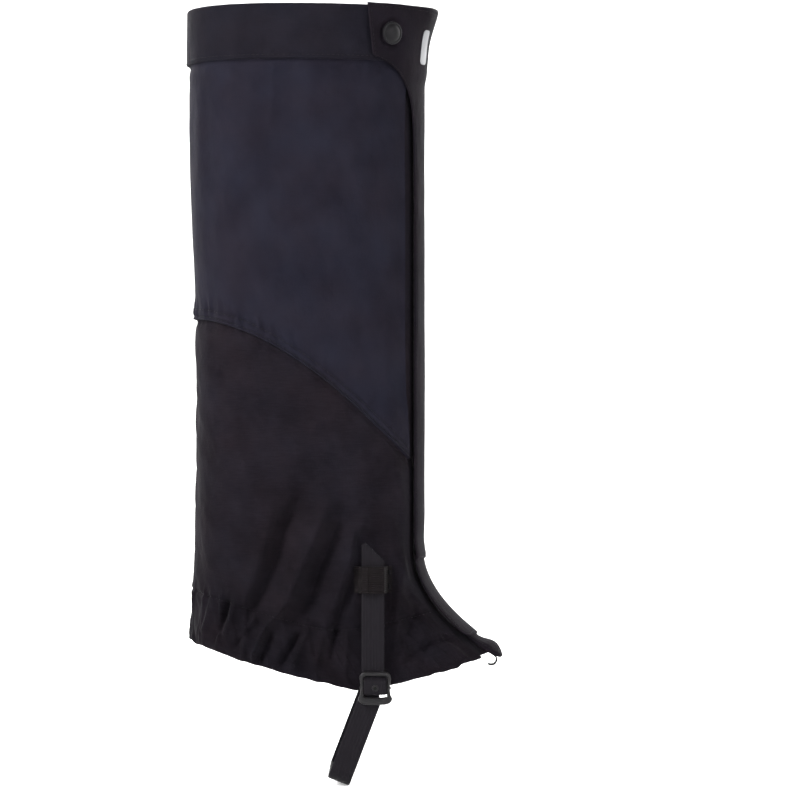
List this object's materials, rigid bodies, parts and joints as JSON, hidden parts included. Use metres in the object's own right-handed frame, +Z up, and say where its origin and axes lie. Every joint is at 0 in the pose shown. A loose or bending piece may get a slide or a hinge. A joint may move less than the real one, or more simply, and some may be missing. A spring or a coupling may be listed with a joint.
{
  "type": "gaiter",
  "caption": "Knee-high gaiter sleeve with a front closure flap, gathered hem, side keeper, buckle and underfoot strap.",
  "frame": {"origin": "on the leg axis at the level where the instep strap carries the boot's arch", "axes": "+X towards the toe, +Z up the leg, -Y the outer (lateral) side of a right leg"},
  "size_m": [0.2116, 0.1116, 0.5132],
  "materials": {
    "navy_cloth": "matt tightly woven face",
    "black_cloth": "matt heavy weave",
    "collar_cloth": "matt smooth weave",
    "elastic": "ribbed knit",
    "tape": "pile",
    "webbing": "ribbed webbing",
    "thread": "sewing thread",
    "strap": "smooth coated webbing",
    "dark_metal": "satin black",
    "plated_metal": "satin plated",
    "snap_finish": "satin black",
    "reflective": "reflective film"
  },
  "bodies": {
    "sleeve": {"upper_panel": "navy_cloth", "lower_panel": "black_cloth", "seam_band": "navy_cloth", "seam_tape": "tape", "collar_band": "collar_cloth", "collar_facing": "collar_cloth", "collar_elastic": "elastic", "hem_casing": "black_cloth", "hem_elastic": "elastic", "front_placket": "black_cloth", "loop_tape": "tape", "flap_binding": "black_cloth", "strap_keeper": "webbing", "keeper_bar_tacks": "thread", "buckle_anchor": "webbing", "buckle_frame": "dark_metal", "buckle_bar": "dark_metal", "buckle_peg": "dark_metal", "strap_in_buckle": "strap", "strap_tab_medial": "webbing", "strap_rivet": "dark_metal", "lace_hook_tab": "black_cloth", "lace_hook": "plated_metal", "lace_hook_rivet": "plated_metal", "snap_stud": "dark_metal", "snap_back_plate": "dark_metal"},
    "front_flap": {"front_flap": "black_cloth", "hook_tape": "tape", "snap_cap": "snap_finish", "snap_socket": "dark_metal", "reflective_patch": "reflective"},
    "flap_foot": {"flap_foot": "black_cloth", "hook_tape_foot": "tape"},
    "strap_tail": {"strap_tail": "strap"},
    "instep_strap": {"instep_strap": "strap"}
  },
  "joints": [
    {"name": "flap_open", "type": "hinge", "parent": "sleeve", "child": "front_flap", "pos_m": [0.075, 0.0208, 0.3], "axis": [0, 0, 1], "range_deg": [0, 150]},
    {"name": "flap_foot_open", "type": "hinge", "parent": "sleeve", "child": "flap_foot", "pos_m": [0.09978, 0.01813, 0.09691], "axis": [-0.5052, 0.0459, 0.8618], "range_deg": [0, 90]},
    {"name": "strap_pull", "type": "slide", "parent": "sleeve", "child": "strap_tail", "axis": [0, 0.0384, 0.9993], "range_m": [0, 0.015]},
    {"name": "instep_swing", "type": "hinge", "parent": "sleeve", "child": "instep_strap", "pos_m": [0.04, 0.0006, 0.0515], "axis": [0, -1, 0], "range_deg": [-30, 75]}
  ],
  "couplings": [
    {"joint": "flap_foot_open", "follows": "flap_open", "ratio": 0.6}
  ]
}
